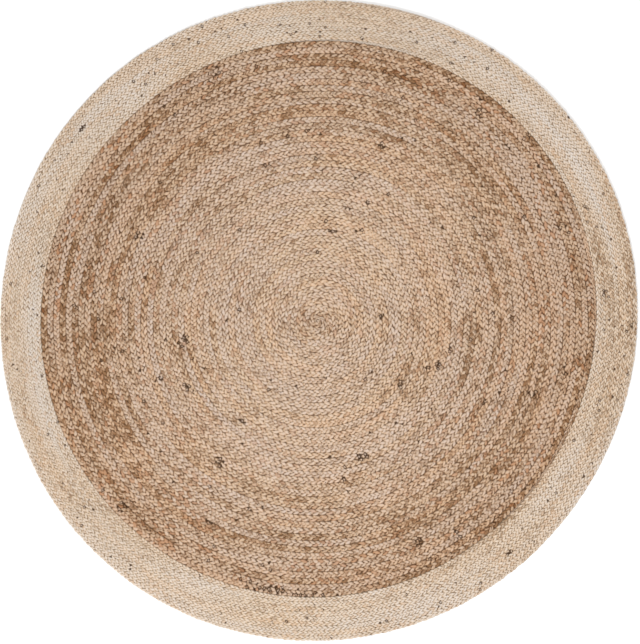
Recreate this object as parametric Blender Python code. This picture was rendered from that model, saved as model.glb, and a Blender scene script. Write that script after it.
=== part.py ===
"""A round braided jute rug, lying flat on z = 0 with +Z up, in metres.

The field is a flat strip of natural jute, two narrow braids side by side, wound into a flat coil from
the middle outwards. The border is one narrower braid of bleached jute, sewn round it in nine turns.
Both coils run clockwise as they grow. Each coil is one solid: its rows stand up as ribs, with a
groove along every seam between two braids, and its underside is flat.
"""

import math

import bmesh
import bpy
import numpy as np

# The coils
STATIONS = 60  # places round one turn where a coil's section is drawn
STEP = 2 * math.pi / STATIONS
SEAM_GAP = 0.0003  # between the two coils, along the whole seam

# The field: natural jute
FIELD_STRIP = 0.0235  # the strip's width: two braids side by side, each 11.75 mm wide
FIELD_TURNS = 21.85  # turns from the middle to the strip's end
FIELD_END = math.radians(300)  # where the strip's end is tucked in
FIELD_TAPER = 17  # stations over which that end narrows to nothing
FIELD_TOP = 0.0094
FIELD_GROOVE = 0.0022  # how deep the grooves between the rows are
FIELD_OVAL = 0.0030  # how far the coil's edge leaves a true circle
FIELD_OVAL_AT = math.radians(112)

# The border: bleached jute
BORDER_ROWS = 9
BORDER_START = math.radians(102)  # its braid starts and ends beside this place
BORDER_TAPER = 7  # stations over which each end narrows to nothing
BORDER_TOP = 0.0080
BORDER_GROOVE = 0.0017
OUTLINE_RADIUS = 0.6008  # mean radius of the rug's outline, about the coil's middle
# The outline's unevenness: waves a turn, how high in metres, and where the first crest is in degrees
OUTLINE_WAVES = (
    {"waves": 1, "height": 0.0047, "crest": 73},
    {"waves": 2, "height": 0.0044, "crest": 113},
    {"waves": 3, "height": 0.0019, "crest": 56},
    {"waves": 4, "height": 0.0011, "crest": 165},
)

# The sections' points between the two edges: how far across, and how much of the groove's depth down
FIELD_SECTION = ({"across": 0.25, "down": 0}, {"across": 0.5, "down": 1}, {"across": 0.75, "down": 0})
BORDER_SECTION = ({"across": 0.3, "down": 0}, {"across": 0.7, "down": 0})
UNDERCUT = 0.0022  # how far the rim turns under
GROOVE_RUN = 20  # stations over which the first groove deepens
MERGE = 0.00001  # vertices nearer than this are one

NATURAL_JUTE = {"colour": (0.46, 0.31, 0.19, 1.0), "roughness": 0.9}
BLEACHED_JUTE = {"colour": (0.63, 0.50, 0.37, 1.0), "roughness": 0.88}


def clear_scene():
    """Remove whatever the start-up file holds."""
    for thing in list(bpy.data.objects):
        bpy.data.objects.remove(thing, do_unlink=True)


def ease(t):
    """A smooth rise from 0 to 1 as t goes from 0 to 1: three t squared less two t cubed."""
    t = np.clip(t, 0.0, 1.0)
    return t * t * (3 - 2 * t)


def field_edges():
    """The angle and radius of the field strip's outer edge at each station, from the middle to its end.

    The radius grows by one strip a turn. Along the last stations the strip narrows, so its outer edge
    comes back to the turn before. An oval that grows with the square of the radius is added.
    """
    last = STATIONS + round(FIELD_TURNS * STATIONS)
    station = np.arange(last + 1)
    angle = FIELD_END + (last - station) * STEP
    inner = FIELD_STRIP * (station - STATIONS) / STATIONS
    radius = inner + FIELD_STRIP * ease((last - station) / FIELD_TAPER)
    full = FIELD_STRIP * FIELD_TURNS
    oval = FIELD_OVAL * (radius / full) ** 2 * np.cos(2 * angle - FIELD_OVAL_AT)
    return angle, np.maximum(radius + oval, 0.0)


def outline(angle):
    """The radius of the rug's outer edge: its mean radius plus a few waves round the rug."""
    radius = np.full(angle.shape, OUTLINE_RADIUS)
    for wave in OUTLINE_WAVES:
        radius += wave["height"] * np.cos(wave["waves"] * angle - math.radians(wave["crest"]))
    return radius


def border_edges(field_radius):
    """The angle and radius of the border braid's outer edge at each station, and its inner loop.

    Counted in rows, the edge stays level for most of a turn and moves out by one row beside the
    braid's start, so every turn lies snug on the one before. It stops at the last row, the outline.
    """
    last = BORDER_ROWS * STATIONS + BORDER_TAPER
    station = np.arange(last + 1)
    angle = BORDER_START - station * STEP
    inner = field_radius(angle) + SEAM_GAP
    turn, within = np.divmod(station, STATIONS)
    rows = np.minimum(turn + ease(within / BORDER_TAPER), BORDER_ROWS)
    radius = inner + (outline(angle) - inner) * rows / BORDER_ROWS
    return angle, radius, inner[:STATIONS]


def points(angle, radius, height):
    """Points at these angles and radii, all at one height."""
    return np.stack(
        [radius * np.cos(angle), radius * np.sin(angle), np.full(angle.shape, height)], axis=1
    )


def coil(name, angle, outer, inner, width, section, top, groove, finish):
    """One coil as a closed solid, from its strip's outer edge at each station.

    A strip's inner edge is the outer edge of the turn before, and on the first turn it is inner: a
    loop of radii, or None where the coil starts at a point in the middle. Each station has its edge
    point, low in the groove, and the points of its section, which stand at the top, or a groove's
    depth lower, where the strip has its full width. The rim and the inner loop stand at mid height,
    and a flat underside closes the solid.
    """
    count = len(angle)
    middle = top / 2
    starts_at_point = inner is None
    first = np.zeros(STATIONS) if starts_at_point else inner
    loop_height = top if starts_at_point else middle
    inside = np.concatenate([first, outer])[:count]
    depth = ease(np.arange(count) / GROOVE_RUN) * groove
    edge_height = top - depth
    edge_height[0] = loop_height
    edge_height[count - 1 - STATIONS :] = middle
    rise = np.sqrt(np.clip((outer - inside) / width, 0.0, 1.0))
    if starts_at_point:
        rise[:STATIONS] = 1.0
    lines = []
    for place in section:
        radius = inside + (outer - inside) * place["across"]
        height = middle + (top - middle - depth * place["down"]) * rise
        lines.append(points(angle, radius, height))
    rim = count - STATIONS + np.arange(STATIONS)
    foot = points(angle[rim], outer[rim] - UNDERCUT, 0.0)
    loop = points(angle[:STATIONS], first, loop_height)
    inner_foot = points(angle[:STATIONS], first + UNDERCUT, 0.0)
    mesh = bmesh.new()
    edges, foot, loop, inner_foot, *lines = (
        [mesh.verts.new(point) for point in group]
        for group in (points(angle, outer, edge_height), foot, loop, inner_foot, *lines)
    )
    lines = [(loop + edges)[:count], *lines, edges]
    for before, after in zip(range(count - 1), range(1, count)):
        for low, high in zip(lines, lines[1:]):
            mesh.faces.new((low[before], high[before], high[after], low[after]))
    wall(mesh, [edges[station] for station in rim], foot)
    if starts_at_point:
        mesh.faces.new(foot)
        bmesh.ops.delete(mesh, geom=inner_foot, context="VERTS")
    else:
        wall(mesh, inner_foot, loop)
        ring_floor(mesh, foot, inner_foot)
    bmesh.ops.remove_doubles(mesh, verts=mesh.verts, dist=MERGE)
    bmesh.ops.recalc_face_normals(mesh, faces=mesh.faces)
    return finished(name, mesh, finish)


def wall(mesh, upper, lower):
    """A ring of faces between two loops."""
    count = len(upper)
    for index in range(count):
        after = (index + 1) % count
        mesh.faces.new((upper[index], lower[index], lower[after], upper[after]))


def ring_floor(mesh, outer_loop, inner_loop):
    """The flat underside of a ring, whose two loops may start at different places."""

    def at(vertex):
        return round(math.atan2(vertex.co.y, vertex.co.x) / STEP) % STATIONS

    outer_by_place = {at(vertex): vertex for vertex in outer_loop}
    inner_by_place = {at(vertex): vertex for vertex in inner_loop}
    for place in range(STATIONS):
        after = (place + 1) % STATIONS
        mesh.faces.new(
            (outer_by_place[place], inner_by_place[place], inner_by_place[after], outer_by_place[after])
        )


def finished(name, mesh, finish):
    """Make the object, with its own material and shading that is smooth along the rows, not across."""
    data = bpy.data.meshes.new(name)
    mesh.to_mesh(data)
    mesh.free()
    material = bpy.data.materials.new(name)
    material.use_nodes = True
    shader = material.node_tree.nodes["Principled BSDF"]
    shader.inputs["Base Color"].default_value = finish["colour"]
    shader.inputs["Roughness"].default_value = finish["roughness"]
    shader.inputs["Metallic"].default_value = 0.0
    data.materials.append(material)
    data.shade_smooth()
    data.set_sharp_from_angle(angle=math.radians(30))
    thing = bpy.data.objects.new(name, data)
    bpy.context.scene.collection.objects.link(thing)
    return thing


def centre_on_origin(things):
    """Move the coils together so that the middle of their outline's box is over the origin."""
    corners = np.array([v.co for thing in things for v in thing.data.vertices])
    shift = (corners.max(axis=0) + corners.min(axis=0)) / 2
    for thing in things:
        for vertex in thing.data.vertices:
            vertex.co.x -= shift[0]
            vertex.co.y -= shift[1]


def build():
    """Build the field and the border."""
    clear_scene()
    angle, radius = field_edges()
    rim = slice(len(angle) - STATIONS, None)
    place = np.round(angle[rim] / STEP).astype(int) % STATIONS
    rim_radius = np.zeros(STATIONS)
    rim_radius[place] = radius[rim]

    def field_radius(at):
        """The field's outer radius at stations given by their angles."""
        return rim_radius[np.round(at / STEP).astype(int) % STATIONS]

    field = coil(
        "field_braid_coil",
        angle,
        radius,
        None,
        FIELD_STRIP,
        FIELD_SECTION,
        FIELD_TOP,
        FIELD_GROOVE,
        NATURAL_JUTE,
    )
    angle, radius, inner = border_edges(field_radius)
    row = float(np.mean(outline(angle) - field_radius(angle))) / BORDER_ROWS
    border = coil(
        "border_braid_coil",
        angle,
        radius,
        inner,
        row,
        BORDER_SECTION,
        BORDER_TOP,
        BORDER_GROOVE,
        BLEACHED_JUTE,
    )
    centre_on_origin([field, border])


build()
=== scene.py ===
# %% [markdown]
# # A round rug of braided jute
#
# The real rug is long narrow braids sewn into flat coils. The field is natural jute, two braids side by
# side, wound from the middle outwards. The border is one narrower braid of bleached jute, sewn round
# the field in nine turns. Each braid is plaited from three strands of fibre.
#
# A picture of a braid could be painted on a disc, and it would look flat as soon as the light came
# from the side. So this lesson plaits real strands: nine long tubes that pass over and under each
# other and follow the coils. Everything else is colour, fibre and light.

import math

import bpy
import numpy as np
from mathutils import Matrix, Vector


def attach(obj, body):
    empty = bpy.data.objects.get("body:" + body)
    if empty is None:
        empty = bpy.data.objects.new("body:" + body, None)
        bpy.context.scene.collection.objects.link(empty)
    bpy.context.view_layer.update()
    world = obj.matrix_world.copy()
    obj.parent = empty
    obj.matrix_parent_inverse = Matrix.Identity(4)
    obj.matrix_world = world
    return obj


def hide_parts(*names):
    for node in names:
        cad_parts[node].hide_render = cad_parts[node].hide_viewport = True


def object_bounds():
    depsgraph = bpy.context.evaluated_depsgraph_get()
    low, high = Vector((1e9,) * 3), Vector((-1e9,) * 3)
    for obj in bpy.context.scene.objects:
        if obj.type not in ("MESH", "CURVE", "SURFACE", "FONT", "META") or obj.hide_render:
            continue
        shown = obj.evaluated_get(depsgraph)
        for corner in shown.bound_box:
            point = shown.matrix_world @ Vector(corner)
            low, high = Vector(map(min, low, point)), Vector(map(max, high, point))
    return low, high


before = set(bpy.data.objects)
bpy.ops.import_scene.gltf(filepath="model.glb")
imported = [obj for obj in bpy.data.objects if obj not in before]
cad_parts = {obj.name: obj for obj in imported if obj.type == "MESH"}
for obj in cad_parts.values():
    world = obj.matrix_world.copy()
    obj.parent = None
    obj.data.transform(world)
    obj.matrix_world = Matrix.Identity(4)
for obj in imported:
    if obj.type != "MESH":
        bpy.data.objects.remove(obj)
cad_low, cad_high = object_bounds()
MM = 0.001
print("coils in the solid model:", ", ".join(sorted(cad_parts)))
print("solid rug, in mm:", [round(size / MM, 1) for size in cad_high - cad_low])

# %% [markdown]
# ## Where the two coils run
#
# The solid model under this scene holds the two coils as ribbed slabs. The strands have to follow the
# same rows, so the sizes that drive those slabs are named again here, in metres.
#
# A row's place is told by how many turns the coil has made. The field's radius grows evenly, clockwise,
# by a strip of two braids a turn. The border's rows lie level round the field and step out by one row
# beside the place where its braid begins, so that every turn lies snug on the one before.

# %% Sizes of the coils
FIELD = {"strip": 23.5 * MM, "braids": 2, "top": 9.4 * MM, "turns": 21.85, "end": math.radians(300)}
STATIONS = 60  # places round a turn where the solid coils have a section
FIELD_TAPER = 17 / STATIONS  # turns over which the end of the field's strip narrows to nothing
FIELD_OVAL = 3.0 * MM
FIELD_OVAL_AT = math.radians(112)
BORDER = {"strip": 8.8 * MM, "braids": 1, "top": 8.0 * MM, "turns": 9, "end": math.radians(102)}
BORDER_TAPER = 7 / STATIONS
SEAM_GAP = 0.3 * MM
OUTLINE_RADIUS = 600.8 * MM
OUTLINE_WAVES = (
    {"waves": 1, "height": 4.7 * MM, "crest": 73},
    {"waves": 2, "height": 4.4 * MM, "crest": 113},
    {"waves": 3, "height": 1.9 * MM, "crest": 56},
    {"waves": 4, "height": 1.1 * MM, "crest": 165},
)
TURN = 2 * math.pi


def ease(t):
    """A smooth rise from 0 to 1 as t goes from 0 to 1: three t squared less two t cubed."""
    t = np.clip(t, 0.0, 1.0)
    return t * t * (3 - 2 * t)


def outline(angle):
    """The radius of the rug's outer edge: its mean radius plus a few waves round the rug."""
    radius = np.full(np.shape(angle), OUTLINE_RADIUS)
    for wave in OUTLINE_WAVES:
        radius += wave["height"] * np.cos(wave["waves"] * angle - math.radians(wave["crest"]))
    return radius


def field_edge(turn):
    """The outer radius of the field's strip after so many turns, with its narrow end and slight oval."""
    radius = FIELD["strip"] * (turn + ease((FIELD["turns"] - turn) / FIELD_TAPER))
    angle = FIELD["end"] + (FIELD["turns"] - turn) * TURN
    full = FIELD["strip"] * FIELD["turns"]
    return radius + FIELD_OVAL * (radius / full) ** 2 * np.cos(2 * angle - FIELD_OVAL_AT)


def field_rim(angle):
    """The field's outer radius in any direction: the edge of the last turn that passes there."""
    return field_edge(FIELD["turns"] - np.mod(angle - FIELD["end"], TURN) / TURN)


around = np.arange(STATIONS) * TURN / STATIONS
edge_x = outline(around) * np.cos(around)
edge_y = outline(around) * np.sin(around)
MIDDLE = np.array([cad_low.x - edge_x.min(), cad_low.y - edge_y.min(), 0.0])
print("the coils' middle, in mm from the rug's:", (MIDDLE / MM).round(1)[:2])

# %% [markdown]
# ## The path of each braid
#
# A path is a table: for every few tenths of a millimetre along the braid it holds the direction from
# the middle, the radii of the row's two edges, and the length so far. Everything about a strand can
# then be read off by its length along the braid. A curve object with a bevel could sweep a tube too,
# but it gives no say over each ring's width, height and colour, and here all of them change.

# %% Paths
PATH_POINTS = 160_000
THINNEST = 1.2 * MM  # a braid ends where it is no wider
FIELD_FIRST = -0.88  # turns: the coil starts as a point at -1, and its braids a little later
FIELD_TRIM = 0.035  # turns left off at the strip's narrow end
FULL_WIDTH_LEAD = 0.02  # turns before the strip narrows from where its braids keep their full width
FULL_WIDTH_SPARE = 1.02  # how wide a braid may be there, as a share of its row
BORDER_TRIM = 0.015  # turns left off at each end of the border's braid


def path(row, angle, inner, outer, seams):
    """One braid's path, with its length so far: the sum of its middle line's steps.

    Its seams are the sides where it is sewn to the next strip: -1 is the inner side, 1 the outer.
    """
    middle = (inner + outer) / 2
    step = np.hypot(np.diff(middle), middle[1:] * np.diff(angle))
    along = np.concatenate([[0.0], np.cumsum(step)])
    print("a braid of", round(along[-1], 2), "m")
    return {"along": along, "angle": angle, "inner": inner, "outer": outer, "row": row, "seams": seams}


def field_path(number):
    """One of the field's braids, from its thin start in the middle to where its end is tucked in.

    The braids share the strip's width evenly. Where the strip narrows at its end, each braid from the
    inner side outwards keeps its full width for as long as there is room.
    """
    turn = np.linspace(FIELD_FIRST, FIELD["turns"] - FIELD_TRIM, PATH_POINTS)
    angle = FIELD["end"] + (FIELD["turns"] - turn) * TURN
    inner = np.maximum(np.where(turn > 0, field_edge(turn - 1), 0.0), 0.0)
    outer = field_edge(turn)
    row = FIELD["strip"] / FIELD["braids"]
    narrowing = turn > FIELD["turns"] - FIELD_TAPER - FULL_WIDTH_LEAD
    even = (outer - inner) / FIELD["braids"]
    width = np.where(narrowing, np.clip(outer - inner - row * number, 0, even.max()), even)
    start = inner + np.where(narrowing, row, even) * number
    there = width > THINNEST
    end = np.minimum(start + np.minimum(width, row * FULL_WIDTH_SPARE), outer)
    return path(row, angle[there], start[there], end[there], [-1] if number == 0 else [1])


def border_path():
    """The border's braid. Its radius is the field's rim plus so many rows of what is left outside it."""
    turn = np.linspace(BORDER_TRIM, BORDER["turns"] + BORDER_TAPER - BORDER_TRIM, PATH_POINTS)
    angle = BORDER["end"] - turn * TURN
    rim = field_rim(angle) + SEAM_GAP
    width = outline(angle) - rim

    def edge(count):
        rows = np.floor(count) + ease((count - np.floor(count)) / BORDER_TAPER)
        return rim + width * np.clip(rows, 0, BORDER["turns"]) / BORDER["turns"]

    return path(BORDER["strip"], angle, edge(turn - 1), edge(turn), [-1, 1])


field_runs = [field_path(number) for number in range(FIELD["braids"])]
border_runs = [border_path()]

# %% [markdown]
# ## Uneven by hand
#
# Nothing that is braided by hand is even. One helper gives every kind of unevenness: a slow random
# change along the braid, which eases from one random value to the next. Each kind has its own share,
# its own length in metres and its own seed, which makes it the same each time the script runs.

# %% Slow random change
UNEVEN = {
    "pace": {"share": 0.28, "length": 0.035, "seed": 0},
    "slow pace": {"share": 0.12, "length": 0.11, "seed": 1},
    "width": {"share": 0.20, "length": 0.012, "seed": 10},
    "height": {"share": 0.07, "length": 0.017, "seed": 20},
    "side": {"share": 0.06, "length": 0.014, "seed": 30},
    "tone": {"share": 1.0, "length": 0.009, "seed": 60},
    "seam": {"share": 0.3, "length": 0.2, "seed": 90},
}


def wander(along, length, seed):
    """Random values between -1 and 1, one for each length along the braid, eased into each other."""
    place = (along - along.min()) / length
    before = np.floor(place).astype(int)
    values = np.random.default_rng(seed).uniform(-1, 1, before.max() + 2)
    return values[before] + (values[before + 1] - values[before]) * ease(place - before)


def by_hand(kind, along, seed):
    """One kind of unevenness at each length along the braid, between its share and minus its share."""
    way = UNEVEN[kind]
    return way["share"] * wander(along, way["length"], seed + way["seed"])


print("kinds of unevenness:", ", ".join(UNEVEN))

# %% [markdown]
# ## Plaiting the strands
#
# Seen from above, a strand of a three-strand braid goes from side to side in a zigzag with soft
# corners. It also rises and dips twice in each swing, a sine of twice the phase, which carries it over
# one neighbour and under the next. The three strands do the same, a third of a swing apart.
#
# Each strand is swept as a flat oval tube, which is right from every side because it is closed. It has
# eight rings a swing. On each side of the row one lies highest, one lies lowest, and two lie between.
# It is widest at its highest and lowest, so each stretch that shows has the shape of a grain. More
# rings would look no different from a step away, and there are tens of thousands of swings.
#
# The sewing thread between two strips draws the strands in a little on that side, more so in the
# outer turns. That leaves a thin gap which winds through the whole field; the strands' finish paints
# shade along it, so that it reads as a dark line.

# %% The swing of a strand
LIFT = math.radians(4)  # how much later than its swing a strand rises
RING_STEP = TURN / 8
SECTION = np.radians([0, 60, 120, 180, 270])  # round the tube, closer on its upper side
SIDES = len(SECTION)
STRANDS = 3
ZIGZAG = 0.8  # how far the swing is from a sine, at 0, to a sharp zigzag, at 1
SWING = 0.77  # of half the row's width
HALF_WIDTH = 0.53  # of half the row's width
HALF_HEIGHT = 0.245  # of the row's height
EDGE_LIFT = 0.10  # how far the strand is raised at the row's sides, in row heights
THIN_LIFT = 0.22  # how far a strand is raised where the row is thin, in row heights
NARROWEST = 0.80  # a strand's width half way between its highest and lowest
BULGE = 0.28  # how much more it has at its highest and lowest
FIELD_ACROSS = 2 * FIELD["strip"] * FIELD["turns"]
SLACK = 0.20 * MM  # what the unevenness may take above and below
# The two kinds of braid. Pitch is the length of a swing. Draw is how far the seams draw the strands in.
# Own is how much of its batch a braid has to itself, and the rest are patches: how many in a turn, and
# how wide each. Splinters are the share of rings with a fleck, and clumps are how many places have more.
FIELD_BRAID = {
    "pitch": 32.2 * MM,
    "draw": 0.07,
    "own": 0.5,
    "patches": ((11, 24 * MM), (30, 12 * MM)),
    "splinters": 0.003,
    "clumps": 80,
}
BORDER_BRAID = {
    "pitch": 26.6 * MM,
    "draw": 0.0,
    "own": 0.2,
    "patches": ((9, 90 * MM), (22, 30 * MM)),
    "splinters": 0.006,
    "clumps": 14,
}
print("swings in the border:", round(border_runs[0]["along"][-1] / BORDER_BRAID["pitch"]))

# %% One strand


def strand(run, braid, top, number, seed):
    """One strand: its rings of points, each ring's length along the braid, and two shares for each point.

    The level is its height as a share of the row's own top, which is lower where the row is thin. The
    edge is how far it lies towards the strip's seam, as a share of half the row's width.

    Across the row: swing times a mix of the sine of the phase and a zigzag, which is the arcsine of
    that sine over a quarter turn. Up: rise times the sine of twice the phase, a little late. The
    ring is an oval, flat to the strand's own path.
    """
    along = run["along"]
    share = (run["outer"] - run["inner"]) / run["row"]
    pace = 1 + by_hand("pace", along, seed) + by_hand("slow pace", along, seed)
    turning = np.gradient(along) * TURN / (braid["pitch"] * np.sqrt(share)) / pace
    phase_along = np.cumsum(turning)
    shift = TURN * number / STRANDS
    first = math.ceil((phase_along[0] + shift - LIFT / 2) / RING_STEP)
    last = math.floor((phase_along[-1] + shift - LIFT / 2) / RING_STEP)
    phase = LIFT / 2 + RING_STEP * np.arange(first, last + 1)
    at = np.interp(phase - shift, phase_along, along)
    angle, inner, outer = (np.interp(at, along, run[key]) for key in ("angle", "inner", "outer"))
    half = (outer - inner) / 2
    thin = np.sqrt(half * 2 / run["row"])
    width = half * HALF_WIDTH * (1 + by_hand("width", at, seed + number))
    height = top * HALF_HEIGHT * thin * (1 + by_hand("height", at, seed + number))
    rise = (top * (0.5 - HALF_HEIGHT) - SLACK) * thin
    swing = (1 - ZIGZAG) * np.sin(phase) + ZIGZAG * np.arcsin(np.sin(phase)) / (TURN / 4)
    towards_seam = np.max([np.clip(side * swing, 0, 1) for side in run["seams"]], axis=0)
    drawn_in = 1 - braid["draw"] * (inner + outer) / FIELD_ACROSS * towards_seam
    across = SWING * half * swing * drawn_in + run["row"] * by_hand("side", at, seed + number)
    up = top * (0.5 + THIN_LIFT * (1 - thin) + EDGE_LIFT * swing**2) + rise * np.sin(2 * phase - LIFT)
    radius = (inner + outer) / 2 + across
    spine = np.stack([radius * np.cos(angle), radius * np.sin(angle), up], axis=1)
    full = NARROWEST + BULGE * np.abs(np.sin(2 * phase - LIFT))
    rings = oval_rings(spine, width * full, height)
    crest = top * (0.5 + THIN_LIFT * (1 - thin) + 0.5 * thin)
    level = rings[:, :, 2] / crest[:, None]
    off_middle = np.hypot(rings[:, :, 0], rings[:, :, 1]) - ((inner + outer) / 2)[:, None]
    edge = np.max([side * off_middle for side in run["seams"]], axis=0) / half[:, None]
    return rings + MIDDLE, at, level, edge


def oval_rings(spine, width, height):
    """An oval round each point of the spine: width along its level side, height along the other side."""
    ahead = np.gradient(spine, axis=0)
    ahead /= np.linalg.norm(ahead, axis=1, keepdims=True)
    side = np.cross(ahead, [0.0, 0.0, 1.0])
    side /= np.linalg.norm(side, axis=1, keepdims=True)
    over = np.cross(side, ahead)
    wide = (width[:, None] * np.cos(SECTION))[:, :, None] * side[:, None]
    tall = (height[:, None] * np.sin(SECTION))[:, :, None] * over[:, None]
    return spine[:, None] + wide + tall


# %% [markdown]
# ## From rings to a mesh
#
# A tube is a grid: one way along the strand, the other way round it. Its faces join each ring to the
# next, and a face closes each end. Blender splits a four-cornered face from its first corner to its
# third. On a tube with few sides that crease shows, so each face starts at the corner that lets the
# crease run the same way as the fibres twist.
#
# Two maps go with the tube. One gives distances along and round the strand in metres, which the
# fibres will follow. The other, for baking, lays the long strip in rows on a square, like lines on a
# page, with more room for the upper side that is seen.

# %% Tube mesh
PAGE_LINES = 52
LINE_FILL = 0.86  # how much of a line's height the strip takes
SIDE_SHARES = np.array([0.0, 0.23, 0.47, 0.70, 0.85, 1.0])  # of the strip's height, at each of its edges


def tube(name, rings):
    """A closed tube from rings of points, with its two maps."""
    count = len(rings)
    ring, side = np.meshgrid(np.arange(count - 1), np.arange(SIDES), indexing="ij")
    after = (side + 1) % SIDES
    quads = np.stack(
        [
            (ring + 1) * SIDES + side,
            (ring + 1) * SIDES + after,
            ring * SIDES + after,
            ring * SIDES + side,
        ],
        axis=-1,
    ).reshape(-1, 4)
    ends = [np.arange(SIDES), (count - 1) * SIDES + np.arange(SIDES)[::-1]]
    mesh = bpy.data.meshes.new(name)
    mesh.vertices.add(count * SIDES)
    mesh.vertices.foreach_set("co", rings.reshape(-1).astype(np.float32))
    mesh.loops.add(quads.size + 2 * SIDES)
    mesh.loops.foreach_set("vertex_index", np.concatenate([quads.ravel(), *ends]).astype(np.int32))
    starts = np.concatenate([np.arange(0, quads.size + 1, 4), [quads.size + SIDES]])
    mesh.polygons.add(len(starts))
    mesh.polygons.foreach_set("loop_start", starts.astype(np.int32))
    mesh.update(calc_edges=True)
    mesh.polygons.foreach_set("use_smooth", np.ones(len(starts), bool))

    gone = np.concatenate([[0.0], np.cumsum(np.linalg.norm(np.diff(rings[:, 0], axis=0), axis=1))])
    middle = rings[count // 2]
    girth = np.linalg.norm(np.roll(middle, -1, axis=0) - middle, axis=1)
    round_it = np.concatenate([[0.0], np.cumsum(girth)])
    corner_ring = np.stack([ring + 1, ring + 1, ring, ring], axis=-1).reshape(-1)
    corner_side = np.stack([side, side + 1, side + 1, side], axis=-1).reshape(-1)
    fibre = np.stack([gone[corner_ring], round_it[corner_side]], axis=1)
    line_length = math.ceil((count - 1) / PAGE_LINES)
    line = np.repeat((ring // line_length).reshape(-1), 4)
    page = np.stack(
        [
            (corner_ring - line * line_length) / line_length,
            (line + (1 - LINE_FILL) / 2 + LINE_FILL * SIDE_SHARES[corner_side]) / PAGE_LINES,
        ],
        axis=1,
    )
    for title, places in (("Fibre", fibre), ("OFBake", page)):
        layer = mesh.uv_layers.new(name=title)
        caps = np.repeat(places[:1], 2 * SIDES, axis=0)
        layer.data.foreach_set("uv", np.concatenate([places, caps]).ravel().astype(np.float32))
    thing = bpy.data.objects.new(name, mesh)
    bpy.context.scene.collection.objects.link(thing)
    return thing


def note(thing, title, values):
    """Keeps a number for each point of a piece, for its material to read."""
    layer = thing.data.attributes.new(title, "FLOAT", "POINT")
    layer.data.foreach_set("value", np.asarray(values, np.float32).ravel())


# %% [markdown]
# ## What each strand remembers
#
# A strand of jute isn't one colour. It is spliced from hanks, and each hank has its own shade: pale
# beige, tan, grey or rust. Short wisps of browner fibre are caught in it, and flecks of bark. Whole
# stretches of a braid, and patches of the rug, are lighter or darker than the next, and the jute has
# darkened towards the rim.
#
# All this is worked out here as numbers for each point of a strand, because only the strand's own
# length knows where a hank ends. The material turns the numbers into colours later:
#
# - hank: which shade, the same for the three strands of a braid, but for a share of each one's own
# - wisp and tone: changes over a few lobes, and from lobe to lobe
# - batch: lighter or darker stretches and patches
# - age: how far the jute has darkened
# - level, edge and seam shade: how high the point lies, how near its strip's seam, and how much shade
# is painted along that seam
# - fleck: bark

# %% Hanks
HANKS = {
    "own": {"length": 0.35, "seed": 40},
    "braid": {"length": 0.22, "seed": 44},
    "wisp": {"length": 0.03, "seed": 50},
    "batch": {"length": 0.22, "seed": 70},
}
HANK_STEP = 10 * MM  # the length of a blend
HANK_SPREAD = (0.4, 1.6)  # the shortest and longest, as shares of the usual length
OWN_SHADE = 0.15  # how much of its shade a strand has to itself
AGEING = {
    "from": 110 * MM,
    "over": 390 * MM,
    "power": 1.5,
    "middle": 80 * MM,
    "middle_share": 0.5,
    "wave": 0.15,
    "crest": math.radians(330),
}
CLUMP_REACH = (2 * MM, 9 * MM)  # half the length of the smallest clump and of the largest
CLUMP_FLAT = 3.0  # how many times longer along the row than across
CLUMP_FREE = 0.03  # the share of each coil's area, at its inner side, without clumps
# How much shade is painted along the seams between the strips, and how much more or less round the rug
SEAM_SHADES = {"open": 0.45, "swing": 0.35, "most_at": math.radians(190)}
FIELD_SEED = 100
BORDER_SEED = 700
BRAID_SEED = 100  # added for each further braid of a coil
FLECK_SEED = 80
PATCH_SEED = 5
CLUMP_SEED = 7
# The row of flecks where the field's last turn meets the border
JOINT = {
    "radius": 508 * MM,
    "across": 8 * MM,
    "angle": math.radians(262),
    "reach": math.radians(9),
    "share": 0.3,
}

# %% Hanks, patches and age


def hanks(kind, at, seed):
    """A random value from 0 to 1 for each hank, whose lengths vary, with a short blend where two meet."""
    length = HANKS[kind]["length"]
    random = np.random.default_rng(seed + HANKS[kind]["seed"])
    enough = int(at[-1] / length * HANK_SPREAD[1]) + 10
    ends = np.cumsum(random.uniform(*HANK_SPREAD, enough) * length)
    values = random.uniform(0, 1, len(ends) + 1)
    hank = np.searchsorted(ends, at)
    before = np.concatenate([[0.0], ends])[hank]
    return values[hank - 1] + (values[hank] - values[hank - 1]) * ease((at - before) / HANK_STEP)


def patches(angle, radius, around, across, seed):
    """A random value from -1 to 1 for each place on the rug, in eased patches: so many in a turn, and
    so far across in radius."""
    turns = np.mod(angle / TURN, 1) * around
    rows = radius / across
    column, row = np.floor(turns).astype(int), np.floor(rows).astype(int)
    values = np.random.default_rng(seed).uniform(-1, 1, (around, row.max() + 2))
    on, up = ease(turns - column), ease(rows - row)
    near = values[column % around, row] * (1 - up) + values[column % around, row + 1] * up
    far = values[(column + 1) % around, row] * (1 - up) + values[(column + 1) % around, row + 1] * up
    return near * (1 - on) + far * on


def ageing(radius, angle):
    """How far the jute has darkened: least a little way out from the middle, and most at the rim.

    The first term is the distance from there as a share of the rest, to the power one and a half. The
    second is a darker middle. The third is a slow wave, twice round the rug.
    """
    rim = np.clip((radius - AGEING["from"]) / AGEING["over"], 0, 1) ** AGEING["power"]
    middle = AGEING["middle_share"] * (1 - ease(radius / AGEING["middle"]))
    return rim + middle + AGEING["wave"] * np.cos(2 * angle - AGEING["crest"])


print("age at the field's rim:", round(float(ageing(field_rim(around), around).mean()), 2))

# %% Flecks of bark


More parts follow.
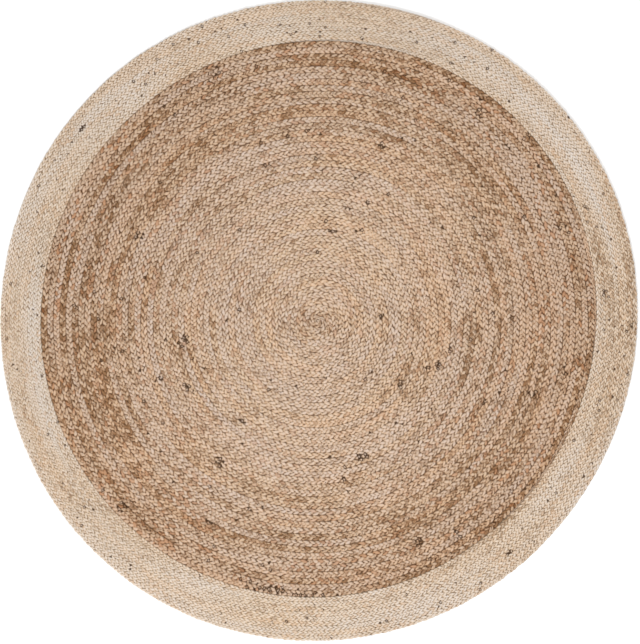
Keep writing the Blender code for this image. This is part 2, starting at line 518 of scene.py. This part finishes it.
def flecks(radius, angle, braid, seed, clump_seed):
    """1 at the few rings that hold a fleck of bark, and 0 elsewhere.

    Some lie alone. Some gather in clumps, ovals along the row at random places that all the strands
    share. A row of them lies where the field's last turn meets the border, at the bottom.
    """
    off = np.abs(np.mod(angle, TURN) - JOINT["angle"])
    at_joint = (np.abs(radius - JOINT["radius"]) < JOINT["across"]) & (off < JOINT["reach"])
    share = np.where(at_joint, JOINT["share"], braid["splinters"])
    alone = np.random.default_rng(seed).uniform(0, 1, radius.shape) < share
    random = np.random.default_rng(clump_seed)
    clumps = braid["clumps"]
    low, high = radius.min() ** 2, radius.max() ** 2
    clump_radius = np.sqrt(random.uniform(low + (high - low) * CLUMP_FREE, high, clumps))
    turned = np.mod(angle[:, None] - random.uniform(0, TURN, clumps) + TURN / 2, TURN) - TURN / 2
    reach = random.uniform(*CLUMP_REACH, clumps)
    far = np.hypot((radius[:, None] - clump_radius) * CLUMP_FLAT, turned * radius[:, None])
    return alone | (far < reach).any(axis=1)


# %% [markdown]
# ## All nine strands
#
# Now each strand is made as a piece of its own, with its numbers. Joining the three of a braid into one
# mesh would give fewer pieces, but each would have nearly 300,000 triangles, which is slow to work with,
# and whoever braids has three strands in the hand too. Each stands for its coil in the solid model.

# %% Plait them


def plait(name, runs, braid, top, seed, node):
    """Every strand of a coil's braids, each a piece of its own."""
    made = []
    for order, (run, number) in enumerate((run, number) for run in runs for number in range(STRANDS)):
        start = seed + BRAID_SEED * (order // STRANDS)
        rings, at, level, edge = strand(run, braid, top, number, start)
        thing = tube(f"{name}_strand_{order + 1}", rings)
        place = rings - MIDDLE
        radius = np.hypot(place[:, :, 0], place[:, :, 1])
        angle = np.arctan2(place[:, :, 1], place[:, :, 0])
        hank = OWN_SHADE * hanks("own", at, start + number) + (1 - OWN_SHADE) * hanks("braid", at, start)
        note(thing, "hank", np.repeat(hank, SIDES))
        note(thing, "wisp", np.repeat(hanks("wisp", at, start + number), SIDES))
        note(thing, "tone", np.repeat(by_hand("tone", at, start + number), SIDES))
        batch = (2 * hanks("batch", at, start) - 1)[:, None]
        patched = sum(
            patches(angle, radius, *size, seed + PATCH_SEED + layer)
            for layer, size in enumerate(braid["patches"])
        )
        note(thing, "batch", braid["own"] * batch + (1 - braid["own"]) * patched)
        note(thing, "level", level)
        note(thing, "edge", edge)
        # shade painted along the seam, more of it towards one side of the rug
        seam_shading = SEAM_SHADES["open"] + SEAM_SHADES["swing"] * np.cos(angle - SEAM_SHADES["most_at"])
        note(thing, "seam_shade", np.clip(seam_shading + by_hand("seam", at, start)[:, None], 0, 1))
        note(thing, "age", ageing(radius, angle))
        seeds = {"seed": start + FLECK_SEED + number, "clump_seed": seed + CLUMP_SEED}
        bark = flecks(radius[:, 0], angle[:, 0], braid, **seeds)
        note(thing, "fleck", np.repeat(bark, SIDES))
        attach(thing, "root")
        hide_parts(node)
        made.append(thing)
        print(thing.name, len(rings), "rings,", round(float(at[-1] - at[0]), 1), "m of braid")
    return made


field_strands = plait(
    "field", field_runs, FIELD_BRAID, FIELD["top"], FIELD_SEED, "field_braid_coil"
)
border_strands = plait(
    "border", border_runs, BORDER_BRAID, BORDER["top"], BORDER_SEED, "border_braid_coil"
)

# %% [markdown]
# ## The ground between the strands
#
# On the real rug no floor shows between the strands: loose fibre and the sewn seam close every gap.
# One thin sheet for each coil stands for that, in the middle of the braid's thickness. It is also the
# plain cloth that the coil amounts to.

# %% Ground sheets
GROUND_SPOKES = 240
MIDDLE_HOLE = 0.5 * MM  # the radius of the hole that the disc's rings close on, under the first lobes
# How far each sheet stays inside its coil's outer edge, its underside and top, and its rings
FIELD_GROUND = {"inside": 2.5 * MM, "low": 3.4 * MM, "high": 5.4 * MM, "rings": 24}
BORDER_GROUND = {"inside": 3 * MM, "low": 2.8 * MM, "high": 4.6 * MM, "rings": 6}
GROUND_LAP = 1.5 * MM  # how far the border's sheet reaches inside the field's rim


def sheet_between(name, inner, outer, size):
    """A closed thin sheet between two radii for each spoke: out along its top, back along its underside."""
    spoke = np.arange(GROUND_SPOKES) * TURN / GROUND_SPOKES
    share = np.linspace(0, 1, size["rings"])[:, None]
    radius = inner(spoke) + (outer(spoke) - size["inside"] - inner(spoke)) * share
    top = np.full(radius.shape, size["high"])
    there = np.stack([radius * np.cos(spoke), radius * np.sin(spoke), top], axis=2)
    back = there[::-1].copy()
    back[:, :, 2] = size["low"]
    grid = np.concatenate([there, back]) + MIDDLE
    rows, columns = grid.shape[:2]
    row, column = np.meshgrid(np.arange(rows), np.arange(columns), indexing="ij")
    below, after = (row + 1) % rows, (column + 1) % columns
    quads = np.stack(
        [row * columns + column, below * columns + column, below * columns + after, row * columns + after],
        axis=-1,
    ).reshape(-1, 4)
    mesh = bpy.data.meshes.new(name)
    mesh.from_pydata(grid.reshape(-1, 3), [], quads)
    mesh.polygons.foreach_set("use_smooth", np.ones(len(quads), bool))
    thing = bpy.data.objects.new(name, mesh)
    bpy.context.scene.collection.objects.link(thing)
    return thing


def middle_of_field(spoke):
    """The same small radius for every spoke."""
    return np.full(spoke.shape, MIDDLE_HOLE)


def inside_field_rim(spoke):
    """The inner edge of the border's sheet, which laps under the field's rim."""
    return field_rim(spoke) - GROUND_LAP


field_ground = sheet_between("field_ground", middle_of_field, field_rim, FIELD_GROUND)
border_ground = sheet_between("border_ground", inside_field_rim, outline, BORDER_GROUND)
for ground, slot, node in (
    (field_ground, "natural_jute", "field_braid_coil"),
    (border_ground, "bleached_jute", "border_braid_coil"),
):
    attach(ground, "root")
    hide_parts(node)
    print(ground.name, len(ground.data.polygons), "faces")

# %% [markdown]
# ## Writing a finish as sums
#
# Blender's materials are nodes. A formula such as `1 - a * b` takes several Math nodes, so a small
# class wraps a node's output and turns Python's own signs into those nodes. Colours go through Mix
# nodes, because a Math node would turn them grey.

# %% A small language for finishes


class Wire:
    """A node's output in one finish. Sums on it add the Math nodes that work them out."""

    def __init__(self, finish, socket):
        self.finish = finish
        self.socket = socket

    def sum(self, operation, *others):
        """One Math node on this wire and the others."""
        inputs = dict(enumerate((self, *others)))
        return self.finish.add("ShaderNodeMath", {"operation": operation}, inputs)

    def __add__(self, other):
        return self.sum("ADD", other)

    def __sub__(self, other):
        return self.sum("SUBTRACT", other)

    def __rsub__(self, other):
        return self.finish.add("ShaderNodeMath", {"operation": "SUBTRACT"}, {0: other, 1: self})

    def __mul__(self, other):
        return self.sum("MULTIPLY", other)

    def __truediv__(self, other):
        return self.sum("DIVIDE", other)

    __radd__ = __add__
    __rmul__ = __mul__

    def between(self, low, high):
        """0 below low, 1 above high, and a smooth rise from one to the other."""
        settings = {"interpolation_type": "SMOOTHSTEP"}
        inputs = {"Value": self, "From Min": low, "From Max": high}
        return self.finish.add("ShaderNodeMapRange", settings, inputs)


class Finish:
    """A material as it is being made."""

    def __init__(self, name):
        self.material = bpy.data.materials.new(name)
        self.material.use_nodes = True
        self.tree = self.material.node_tree
        self.shader = self.tree.nodes["Principled BSDF"]

    def add(self, kind, settings=None, inputs=None, output=0):
        """A node of any kind: its settings first, then the values or wires of its sockets."""
        node = self.tree.nodes.new(kind)
        for key, value in (settings or {}).items():
            setattr(node, key, value)
        for key, value in (inputs or {}).items():
            self.plug(node.inputs[key], value)
        return Wire(self, node.outputs[output])

    def plug(self, socket, value):
        """A wire is linked to the socket, and anything else is set on it."""
        if isinstance(value, Wire):
            self.tree.links.new(value.socket, socket)
        else:
            socket.default_value = value

    def remembered(self, title):
        """A number that the piece keeps for each of its points."""
        return self.add("ShaderNodeAttribute", {"attribute_name": title}, output="Fac")

    def mix(self, share, one, other, how="MIX"):
        """One colour turning into another as share goes from 0 to 1."""
        settings = {"data_type": "RGBA", "blend_type": how, "clamp_factor": True}
        return self.add("ShaderNodeMix", settings, {0: share, 6: one, 7: other}, output=2)

    def tint(self, colour, red, green, blue):
        """A colour times these three numbers."""
        return self.mix(1.0, colour, (red, green, blue, 1.0), "MULTIPLY")

    def paint(self, **sockets):
        """Sets the shader's own sockets."""
        for key, value in sockets.items():
            self.plug(self.shader.inputs[key.replace("_", " ")], value)
        return self.material


def shade(red, green, blue):
    """A colour as it is read off a screen, 0 to 255, turned into the linear numbers a shader needs."""
    screen = np.array([red, green, blue]) / 255
    linear = np.where(screen <= 0.04045, screen / 12.92, ((screen + 0.055) / 1.055) ** 2.4)
    return (*linear.tolist(), 1.0)


# %% [markdown]
# ## Jute
#
# Jute fibre is matt and a little hairy. Close up a strand shows fine parallel fibres, so a noise is
# stretched along the strand: it changes every millimetre across and every few millimetres along. Two
# such noises, a fine and a broad one, give the streaks, the bump and a little change of roughness.
# They read the strand's own map, so they follow it through every swing, and they climb round it as
# the twist does.
#
# The colour is built up as a dyer would see it: the jute's own shade by age, the hank's tint, brown
# wisps, light and dark streaks, then bark. Light and shade are painted on top: a strand is tinted
# warmer low down and cooler on its top. Low down between the lobes, where little light gets in, and
# along the seams between the strips, shade is painted into the colour, darker with depth. A plain
# noise in space makes that painted shade deeper in some gaps than in others. Flecks of bark are kept
# off the crests, low at a lobe's sides, where they also add dark dashes of painted shade to the gaps.

# %% What the finish is made of
FIBRE_TWIST = 0.50  # how far the fibres climb round the strand for each metre along it
HANKS_APART = 7  # how far apart in the noise two hanks' fibres lie
FINE = {"long": 7 * MM, "wide": 0.9 * MM, "offset": 0.0, "detail": 2.0}
BROAD = {"long": 6 * MM, "wide": 2.2 * MM, "offset": 3.0, "detail": 2.0}
SPECKS = {"long": 5 * MM, "wide": 1.1 * MM, "offset": 9.0, "detail": 0.0}
STREAKS = {"fine": 0.8, "broad": 1.4, "wisp": 0.2, "tone": 0.40}  # what makes a place light or dark
HANK_TINTS = ({"tint": "grey", "middle": 0.20}, {"tint": "rust", "middle": 0.78})
HANK_REACH = 0.20  # how far from its middle a tint reaches
HANK_STRENGTH = 0.9
LIGHT_STREAK = (1.07, 1.12, 1.19)
DARK_STREAK = (0.46, 0.35, 0.25)
# painted shade and highlight: a strand is tinted warmer low down and cooler on its top
LOW_SHADE_TINT = (1.02, 0.97, 0.88)
TOP_HIGHLIGHT_TINT = (0.99, 1.00, 1.03)
# the tint of the shade painted low between the lobes and along the seams
GAP = (0.23, 0.125, 0.045)
BARK = (62, 38, 18)
MOST_BARK = 0.94  # a fleck is never all bark
# a noise in space makes the painted shade deeper in some gaps than in others
GAP_SPOTS = 160.0  # for each metre: how often the gaps change between open and closed
FAINTEST_GAP_SHADE = 0.15  # how dark a closed gap still is
YOUNG_CONTRAST = 0.58
# Numbers that go from the first to the second as the jute darkens
BROWN_BY_AGE = (0.45, 1.10)
SLOW_BY_AGE = (0.15, 1.15)
SEAM_BY_AGE = (0.3, 1.0)
ROUGHNESS = {"middle": 0.78, "change": 0.3}
RELIEF = {"strength": 0.7, "depth": 0.8 * MM, "fine": 0.4}
# Where each change of colour begins and is complete, on the scale of what drives it
BATCH_FROM_TO = (-0.7, 0.7)
WISP_FROM_TO = (0.85, 0.94)
# from the painted shade low on a strand to the painted highlight on its top
HIGH_FROM_TO = (0.62, 1.0)
FLECK_FROM_TO = (0.30, 0.5)
# bark is kept off the crests, which adds painted shade low at a lobe's sides
FLECK_HIGH_FROM_TO = (0.87, 1.0)
FLECK_BREAKS_FROM_TO = (0.36, 0.44)
# where the shade painted along a seam and low between the lobes begins and is complete
SEAM_FROM_TO = (0.92, 1.14)
GAP_FROM_TO = (0.60, 0.84)

# %% The finish of a strand


def jute(name, colours):
    """A strand's material: shade by age, hank tint, wisps, streaks, bark, painted shade and highlight by
    height, and painted shade in gaps and seams.
    """
    finish = Finish(name)
    place = finish.add("ShaderNodeUVMap", {"uv_map": "Fibre"})
    length = finish.add("ShaderNodeSeparateXYZ", inputs={0: place})
    girth = Wire(finish, length.socket.node.outputs[1])
    titles = ("hank", "wisp", "tone", "batch", "age", "fleck", "level", "edge", "seam_shade")
    hank, wisp, tone, batch, age, fleck, level, edge, seam_shade = map(finish.remembered, titles)

    def fibres(size):
        """Noise stretched along the strand, with its spots so long and so wide, in metres."""
        climb = (girth - length * FIBRE_TWIST) / size["wide"]
        inputs = {0: length / size["long"], 1: climb, 2: hank * HANKS_APART + size["offset"]}
        spot = finish.add("ShaderNodeCombineXYZ", inputs=inputs)
        inputs = {"Vector": spot, "Scale": 1.0, "Detail": size["detail"]}
        return finish.add("ShaderNodeTexNoise", inputs=inputs)

    def by_age(young, old):
        """A number that goes from young to old as age goes from 0 to 1."""
        return age * (old - young) + young

    fine, broad, speck = fibres(FINE), fibres(BROAD), fibres(SPECKS)

    # the jute's own shade by age, each hank's tint, and the paler or darker stretches
    base = finish.mix(age, shade(*colours["inner"]), shade(*colours["outer"]))
    for kind in HANK_TINTS:
        share = 1 - (hank - kind["middle"]).sum("ABSOLUTE").between(0, HANK_REACH)
        base = finish.mix(share * HANK_STRENGTH, base, finish.tint(base, *colours[kind["tint"]]))
    base = finish.mix(batch.between(*BATCH_FROM_TO), base, finish.tint(base, *colours["pale"]))

    # brown wisps, more of them in the older outer turns
    brown = wisp.between(*WISP_FROM_TO) * by_age(*BROWN_BY_AGE)
    base = finish.mix(brown * colours["brown_share"], base, shade(*colours["brown"]))

    # light and dark streaks: half is neither, 1 the lightest and 0 the darkest
    uneven = (
        (fine - 0.5) * STREAKS["fine"]
        + (broad - 0.5) * STREAKS["broad"]
        + (wisp - 0.5) * STREAKS["wisp"]
        + tone * STREAKS["tone"]
    )
    spread = by_age(YOUNG_CONTRAST, YOUNG_CONTRAST + colours["spread"])
    slow = batch * by_age(*SLOW_BY_AGE) * colours["batch"]
    streak = uneven * spread * colours["contrast"] + slow + 0.5
    base = finish.mix(streak.between(0.5, 1.0), base, finish.tint(base, *LIGHT_STREAK))
    base = finish.mix(1 - streak.between(0.0, 0.5), base, finish.tint(base, *DARK_STREAK))
    # painted shade and highlight: warmer low on the strand, cooler on its top
    low, high = finish.tint(base, *LOW_SHADE_TINT), finish.tint(base, *TOP_HIGHLIGHT_TINT)
    base = finish.mix(level.between(*HIGH_FROM_TO), low, high)

    # bark: the flecks, broken up by the broad streaks and kept off the crests, so that low at a lobe's
    # sides they also paint dark dashes of shade into the gaps; and a few fine specks
    at_sides = 1 - level.between(*FLECK_HIGH_FROM_TO)
    fleck_at = fleck.between(*FLECK_FROM_TO) * at_sides * broad.between(*FLECK_BREAKS_FROM_TO)
    barky = (speck.between(*colours["specks"]) + fleck_at).sum("MINIMUM", MOST_BARK)
    base = finish.mix(barky, base, shade(*BARK))

    # painted shade low between the lobes and along the seams, whichever is the darker
    inputs = {"Vector": object_place(finish), "Scale": GAP_SPOTS, "Detail": 1.0}
    gap_shade_noise = finish.add("ShaderNodeTexNoise", inputs=inputs)
    seam = edge.between(*SEAM_FROM_TO) * seam_shade * by_age(*SEAM_BY_AGE) * colours["seam"]
    gap_shade_share = gap_shade_noise.between(*colours["open"]) * (1 - FAINTEST_GAP_SHADE) + FAINTEST_GAP_SHADE
    deep = ((1 - level.between(*GAP_FROM_TO)) * gap_shade_share).sum("MAXIMUM", seam)
    base = finish.mix(deep * spread * colours["gap"], base, finish.tint(base, *GAP))

    relief = {"Strength": RELIEF["strength"], "Distance": RELIEF["depth"]}
    relief["Height"] = fine * RELIEF["fine"] + broad
    return finish.paint(
        Base_Color=base,
        Roughness=ROUGHNESS["middle"] + (fine - 0.5) * ROUGHNESS["change"],
        Specular_IOR_Level=0.12,
        Normal=finish.add("ShaderNodeBump", inputs=relief),
    )


def object_place(finish):
    """The place of a point on its piece, in metres."""
    return finish.add("ShaderNodeTexCoord", output="Object")


# %% Two kinds of jute
# What differs between the two kinds of jute. Inner, outer and brown are shades as seen on a screen, and
# pale, grey and rust are tints that multiply them. Spread is how much more contrast the oldest has, and
# contrast, batch, gap and seam are the strength of the streaks, the stretches, and the shade painted in
# the gaps and along the seams. Open and specks are the stretches of their noises in which a gap's
# painted shade deepens and a speck begins.
NATURAL = {
    "inner": (203, 178, 153),
    "outer": (190, 161, 133),
    "pale": (0.97, 1.00, 1.08),
    "grey": (0.98, 1.00, 1.04),
    "rust": (1.04, 0.99, 0.94),
    "brown": (162, 110, 68),
    "brown_share": 0.6,
    "spread": 0.45,
    "contrast": 1.06,
    "batch": 0.36,
    "gap": 1.0,
    "seam": 1.0,
    "open": (0.45, 0.57),
    "specks": (0.72, 0.76),
}
BLEACHED = {
    "inner": (212, 193, 172),
    "outer": (208, 189, 168),
    "pale": (0.96, 1.00, 1.07),
    "grey": (0.98, 1.00, 1.03),
    "rust": (1.02, 0.99, 0.96),
    "brown": (190, 156, 122),
    "brown_share": 0.4,
    "spread": 0.30,
    "contrast": 0.52,
    "batch": 0.19,
    "gap": 0.9,
    "seam": 0.2,
    "open": (0.53, 0.65),
    "specks": (0.78, 0.82),
}
natural_jute = jute("natural_jute_strand", NATURAL)
bleached_jute = jute("bleached_jute_strand", BLEACHED)
for things, material in ((field_strands, natural_jute), (border_strands, bleached_jute)):
    for thing in things:
        thing.data.materials.append(material)
    print(material.name, "has", len(material.node_tree.nodes), "nodes")

# %% [markdown]
# ## Loose fibre, in painted shade
#
# The ground shows only deep between the lobes, where it is coloured dark as painted shade, with a
# tangle of lighter loose fibre. A fine noise in space is enough for it.

# %% The finish of the ground
TANGLE = 900.0  # threads for each metre


def shaded_ground_finish(name, dark, light):
    """Loose fibre deep between the strands, coloured dark as painted shade, with a tangle of lighter
    threads.
    """
    finish = Finish(name)
    place = object_place(finish)
    tangle = finish.add("ShaderNodeTexNoise", inputs={"Vector": place, "Scale": TANGLE, "Detail": 3.0})
    bump = finish.add("ShaderNodeBump", inputs={"Strength": 0.8, "Distance": 0.5 * MM, "Height": tangle})
    colour = finish.mix(tangle.between(0.4, 0.7), shade(*dark), shade(*light))
    return finish.paint(Base_Color=colour, Roughness=0.9 + (tangle - 0.5) * 0.2, Normal=bump)


# the ground's dark colours are painted shade deep between the strands
field_ground.data.materials.append(shaded_ground_finish("natural_ground_shade", (104, 78, 56), (150, 118, 90)))
border_ground.data.materials.append(shaded_ground_finish("bleached_ground_shade", (150, 128, 104), (190, 168, 142)))

# %% [markdown]
# ## Floor, light and camera
#
# The rug was photographed from straight above in soft, even light on a white ground. The camera
# stands six metres up, so that the view is nearly flat, and its lens takes in the photograph's frame.

# %% Stage
FLOOR = 8.0  # half its width
FLOOR_DROP = 0.2 * MM  # how far it lies below the rug's underside
floor_corners = [(x * FLOOR, y * FLOOR, 0) for x, y in ((-1, -1), (1, -1), (1, 1), (-1, 1))]
floor_mesh = bpy.data.meshes.new("floor")
floor_mesh.from_pydata(floor_corners, [], [(0, 1, 2, 3)])
floor = bpy.data.objects.new("floor", floor_mesh)
floor.location.z = -FLOOR_DROP
bpy.context.scene.collection.objects.link(floor)
floor_finish = Finish("pale_floor")
floor_mesh.materials.append(floor_finish.paint(Base_Color=(0.95, 0.95, 0.95, 1.0), Roughness=0.9))

# %% Camera
RUG_ACROSS = 1200 * MM
RUG_PIXELS = 638  # how wide the rug is in the photograph
FRAME_PIXELS = 644  # the photograph's height
PIXEL = RUG_ACROSS / RUG_PIXELS  # one pixel of the photograph, on the rug
FRAME_MIDDLE = (1.0 * PIXEL, -1.5 * PIXEL)  # where the photograph's middle lies from the rug's
CAMERA_HEIGHT = 6.0
SENSOR = 24.0
camera_data = bpy.data.cameras.new("camera")
camera_data.sensor_fit = "VERTICAL"
camera_data.sensor_height = SENSOR
camera_data.lens = SENSOR * CAMERA_HEIGHT / (FRAME_PIXELS * PIXEL)
camera = bpy.data.objects.new("camera", camera_data)
camera.location = (*FRAME_MIDDLE, CAMERA_HEIGHT)
bpy.context.scene.collection.objects.link(camera)
bpy.context.scene.camera = camera
print("one pixel is", round(PIXEL / MM, 2), "mm; the lens is", round(camera_data.lens, 1), "mm")

# %% Light


def softbox(name, place, size, power):
    """A square area light that faces the rug's middle."""
    data = bpy.data.lights.new(name, "AREA")
    data.size = size
    data.energy = power
    lamp = bpy.data.objects.new(name, data)
    lamp.location = place
    direction = -lamp.location
    lamp.rotation_euler = direction.to_track_quat("-Z", "Y").to_euler()
    bpy.context.scene.collection.objects.link(lamp)


softbox("key_light", place=(-1.2, -2.6, 3.2), size=2.0, power=110)
softbox("fill_light", place=(2.0, 2.0, 3.5), size=3.0, power=60)
world = bpy.data.worlds.new("studio")
world.use_nodes = True
world.node_tree.nodes["Background"].inputs["Color"].default_value = (1.0, 1.0, 1.0, 1.0)
world.node_tree.nodes["Background"].inputs["Strength"].default_value = 0.75
bpy.context.scene.world = world
bpy.context.scene.view_settings.view_transform = "Standard"

# %% [markdown]
# ## What the rug amounts to
#
# Each coil amounts to one sheet that lies flat: the field is a disc, and the border a band. Their
# flat sizes come from the same outlines as the strands.

spokes = np.linspace(0, TURN, 720, endpoint=False)
field_area = float(np.mean(field_rim(spokes) ** 2) * math.pi)
border_area = float(np.mean(outline(spokes) ** 2) * math.pi) - field_area
border_width = float(np.mean(outline(spokes) - field_rim(spokes)))
field_across = float(2 * np.max(field_rim(spokes)))
print("field:", round(field_area, 3), "m2; border:", round(border_area, 3), "m2")
